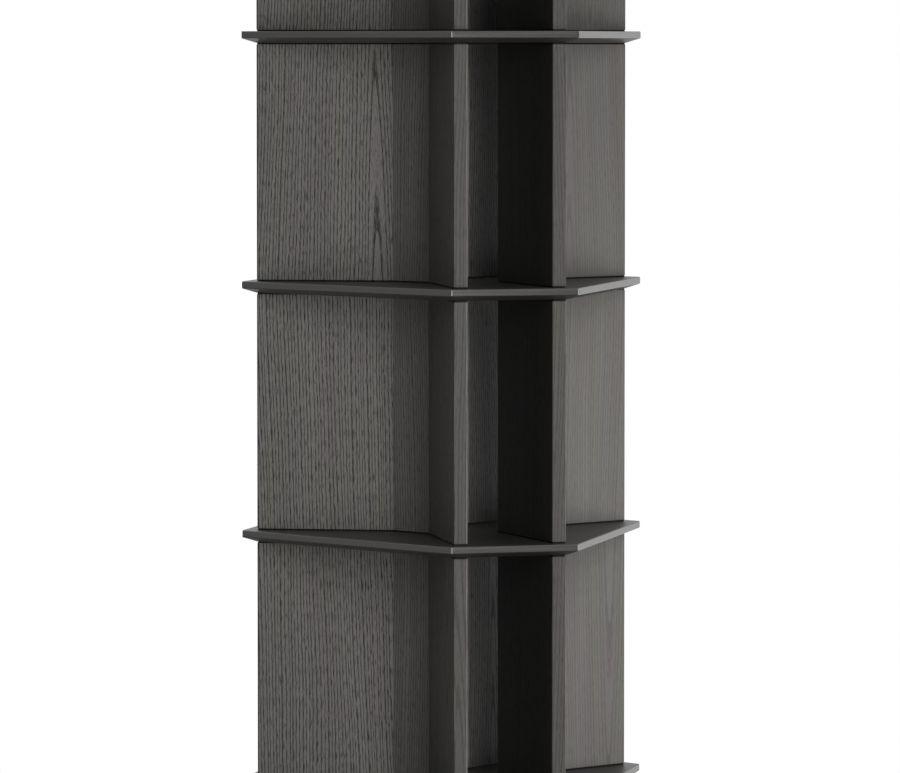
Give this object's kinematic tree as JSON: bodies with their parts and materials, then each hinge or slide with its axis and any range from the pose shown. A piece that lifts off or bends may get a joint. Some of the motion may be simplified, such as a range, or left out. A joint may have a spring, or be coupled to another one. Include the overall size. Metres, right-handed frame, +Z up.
{
  "type": "revolving column bookcase",
  "caption": "Tall revolving column bookcase: hexagonal shelf boards on a three-armed star of walls, open on all sides, turning on a round floor plate.",
  "frame": {"origin": "on the floor at the swivel axis, at the underside of the felt", "axes": "+Z up along the swivel axis; at rest the front slot, at a short side of the shelf boards, faces -Y"},
  "size_m": [0.5804, 0.5041, 1.816],
  "materials": {
    "oak_veneer_board": "oak veneer, stained black-brown, open pores, matt lacquer",
    "lacquered_shelf_board": "board stained black-brown, satin lacquer",
    "beech": "planed, glued",
    "powder_coated_steel": "fine-textured black powder coat",
    "race_steel": "ground",
    "nylon": "moulded",
    "felt": "pressed felt"
  },
  "bodies": {
    "base": {"floor_felt": "felt", "base_disc": "powder_coated_steel", "bearing_lower_race": "race_steel", "bearing_rollers": "race_steel", "bearing_cage": "nylon"},
    "tower": {"bearing_upper_race": "race_steel", "spindle_bush": "nylon", "plinth": "lacquered_shelf_board", "loose_tongues": "beech", "shelf_1": "lacquered_shelf_board", "shelf_2": "lacquered_shelf_board", "shelf_3": "lacquered_shelf_board", "shelf_4": "lacquered_shelf_board", "shelf_5": "lacquered_shelf_board", "shelf_6": "lacquered_shelf_board", "tier1_front_wall_right": "oak_veneer_board", "tier1_front_wall_left": "oak_veneer_board", "tier1_right_wall_rear": "oak_veneer_board", "tier1_right_wall_front": "oak_veneer_board", "tier1_left_wall_front": "oak_veneer_board", "tier1_left_wall_rear": "oak_veneer_board", "tier1_niche_back_right": "oak_veneer_board", "tier1_niche_back_rear": "oak_veneer_board", "tier1_niche_back_left": "oak_veneer_board", "tier2_front_wall_right": "oak_veneer_board", "tier2_front_wall_left": "oak_veneer_board", "tier2_right_wall_rear": "oak_veneer_board", "tier2_right_wall_front": "oak_veneer_board", "tier2_left_wall_front": "oak_veneer_board", "tier2_left_wall_rear": "oak_veneer_board", "tier2_niche_back_right": "oak_veneer_board", "tier2_niche_back_rear": "oak_veneer_board", "tier2_niche_back_left": "oak_veneer_board", "tier3_front_wall_right": "oak_veneer_board", "tier3_front_wall_left": "oak_veneer_board", "tier3_right_wall_rear": "oak_veneer_board", "tier3_right_wall_front": "oak_veneer_board", "tier3_left_wall_front": "oak_veneer_board", "tier3_left_wall_rear": "oak_veneer_board", "tier3_niche_back_right": "oak_veneer_board", "tier3_niche_back_rear": "oak_veneer_board", "tier3_niche_back_left": "oak_veneer_board", "tier4_front_wall_right": "oak_veneer_board", "tier4_front_wall_left": "oak_veneer_board", "tier4_right_wall_rear": "oak_veneer_board", "tier4_right_wall_front": "oak_veneer_board", "tier4_left_wall_front": "oak_veneer_board", "tier4_left_wall_rear": "oak_veneer_board", "tier4_niche_back_right": "oak_veneer_board", "tier4_niche_back_rear": "oak_veneer_board", "tier4_niche_back_left": "oak_veneer_board", "tier5_front_wall_right": "oak_veneer_board", "tier5_front_wall_left": "oak_veneer_board", "tier5_right_wall_rear": "oak_veneer_board", "tier5_right_wall_front": "oak_veneer_board", "tier5_left_wall_front": "oak_veneer_board", "tier5_left_wall_rear": "oak_veneer_board", "tier5_niche_back_right": "oak_veneer_board", "tier5_niche_back_rear": "oak_veneer_board", "tier5_niche_back_left": "oak_veneer_board"}
  },
  "joints": [
    {"name": "tower_turn", "type": "hinge", "parent": "base", "child": "tower", "pos_m": [0, 0, 0], "axis": [0, 0, 1], "continuous": true}
  ]
}
